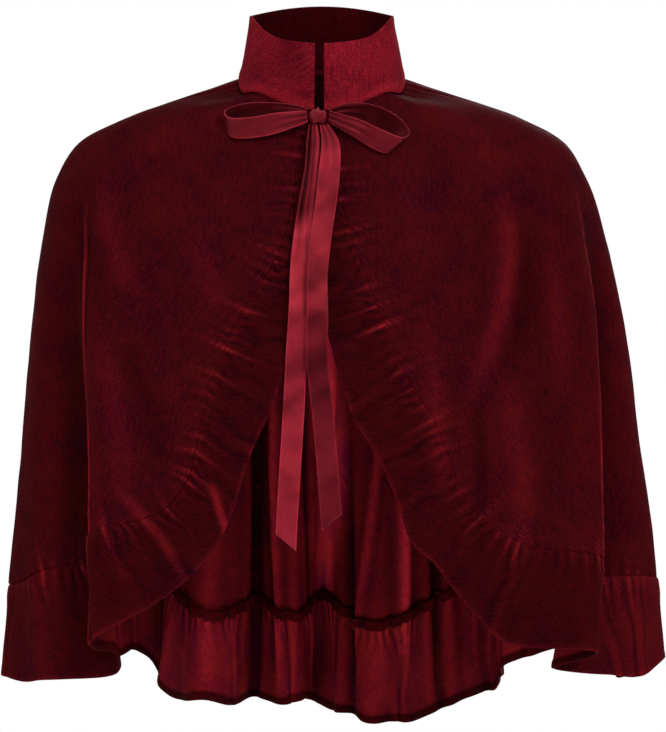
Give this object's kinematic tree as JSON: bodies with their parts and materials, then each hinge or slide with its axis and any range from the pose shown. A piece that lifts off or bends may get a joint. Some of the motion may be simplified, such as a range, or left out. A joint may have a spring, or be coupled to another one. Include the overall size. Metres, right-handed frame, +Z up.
{
  "type": "cape",
  "caption": "Short velvet cape with a stand collar, a gathered ruffle all round its edge and a satin ribbon bow at the neck.",
  "frame": {"origin": "middle of the neck seam, level with the side of the wearer's neck, where the cape hangs on its wearer", "axes": "+Z up, -Y the way the wearer faces, +X towards the wearer's left"},
  "size_m": [0.6047, 0.374, 0.6926],
  "materials": {
    "velvet": "cotton velvet with a short upright pile",
    "ribbon": "double-faced satin ribbon"
  },
  "bodies": {
    "root": {"back": "velvet", "front_left": "velvet", "front_right": "velvet", "collar": "velvet", "ruffle_back": "velvet", "ruffle_front_left": "velvet", "ruffle_front_right": "velvet", "ribbon_knot": "ribbon", "ribbon_loop_left": "ribbon", "ribbon_loop_right": "ribbon", "ribbon_tail_left": "ribbon", "ribbon_tail_right": "ribbon"}
  },
  "joints": []
}
